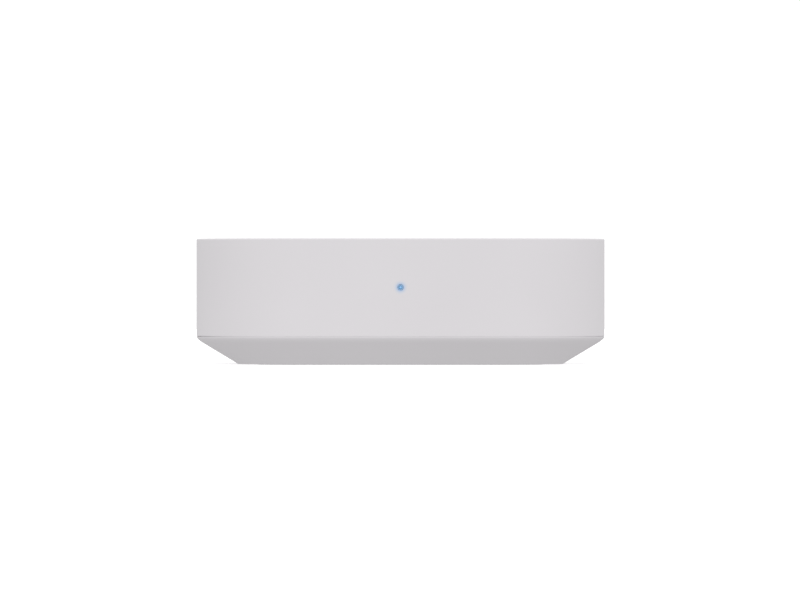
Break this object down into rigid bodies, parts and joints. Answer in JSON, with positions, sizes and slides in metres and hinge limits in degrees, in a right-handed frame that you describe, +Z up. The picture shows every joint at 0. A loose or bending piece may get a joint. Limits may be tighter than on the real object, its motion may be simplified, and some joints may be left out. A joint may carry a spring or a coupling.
{
  "type": "streaming media player",
  "caption": "Low rounded-square streaming player in white plastic with a sloped lower edge, one small status light in front and a port panel at the back.",
  "frame": {"origin": "under the middle of the foot pad, on the surface that the player stands on", "axes": "+Z up, -Y out of the front face with the status light, +Y out of the port panel, +X to the right seen from the front"},
  "size_m": [0.1, 0.1, 0.0308],
  "materials": {
    "case_white": "fine moulded texture",
    "foot_rubber": "matt",
    "panel_black": "fine moulded texture",
    "light_clear": "clear, polished",
    "led_blue": "lit blue",
    "board_green": "solder mask over glass laminate",
    "chip_black": "moulded epoxy",
    "thermal_grey": "soft silicone",
    "sink_aluminium": "extruded",
    "capacitor_aluminium": "drawn can",
    "pin_plastic": "moulded nylon",
    "spring_steel": "drawn wire",
    "shield_steel": "tinned sheet",
    "port_plastic": "moulded",
    "button_grey": "moulded",
    "antenna_brass": "plated strip",
    "cable_black": "fine coaxial jacket",
    "screw_black": "blackened steel",
    "screw_bright": "zinc plated"
  },
  "bodies": {
    "case": {"top_shell": "case_white", "base_shell": "case_white", "foot_pad": "foot_rubber", "port_panel": "panel_black", "light_pipe": "light_clear", "status_led": "led_blue", "main_board": "board_green", "processor_chip": "chip_black", "memory_chip_1": "chip_black", "memory_chip_2": "chip_black", "flash_chip": "chip_black", "ethernet_transformer": "chip_black", "power_inductor": "chip_black", "thermal_pad": "thermal_grey", "heat_sink": "sink_aluminium", "capacitor_1": "capacitor_aluminium", "capacitor_2": "capacitor_aluminium", "heat_sink_pin_1": "pin_plastic", "heat_sink_pin_2": "pin_plastic", "pin_spring_1": "spring_steel", "pin_spring_2": "spring_steel", "wifi_module": "shield_steel", "hdmi_shell": "shield_steel", "ethernet_shield": "shield_steel", "usb_shell": "shield_steel", "power_jack_pin": "shield_steel", "power_jack": "port_plastic", "hdmi_tongue": "port_plastic", "ethernet_socket": "port_plastic", "usb_tongue": "port_plastic", "reset_switch": "port_plastic", "antenna_left": "antenna_brass", "antenna_right": "antenna_brass", "antenna_plug_left": "antenna_brass", "antenna_plug_right": "antenna_brass", "antenna_cable_left": "cable_black", "antenna_cable_right": "cable_black", "case_screw_1": "screw_black", "case_screw_2": "screw_black", "case_screw_3": "screw_black", "case_screw_4": "screw_black", "board_screw_1": "screw_bright", "board_screw_2": "screw_bright", "board_screw_3": "screw_bright", "board_screw_4": "screw_bright"},
    "reset_cap": {"reset_button": "button_grey"},
    "reset_plunger": {"switch_plunger": "button_grey"}
  },
  "joints": [
    {"name": "reset_button_press", "type": "slide", "parent": "case", "child": "reset_cap", "axis": [0, -1, 0], "range_m": [0, 0.0004], "stiffness_N_per_m": 1200, "springref_m": -0.0004},
    {"name": "switch_plunger_press", "type": "slide", "parent": "case", "child": "reset_plunger", "axis": [0, -1, 0], "range_m": [0, 0.0004]}
  ],
  "couplings": [
    {"joint": "switch_plunger_press", "follows": "reset_button_press", "ratio": 1}
  ]
}
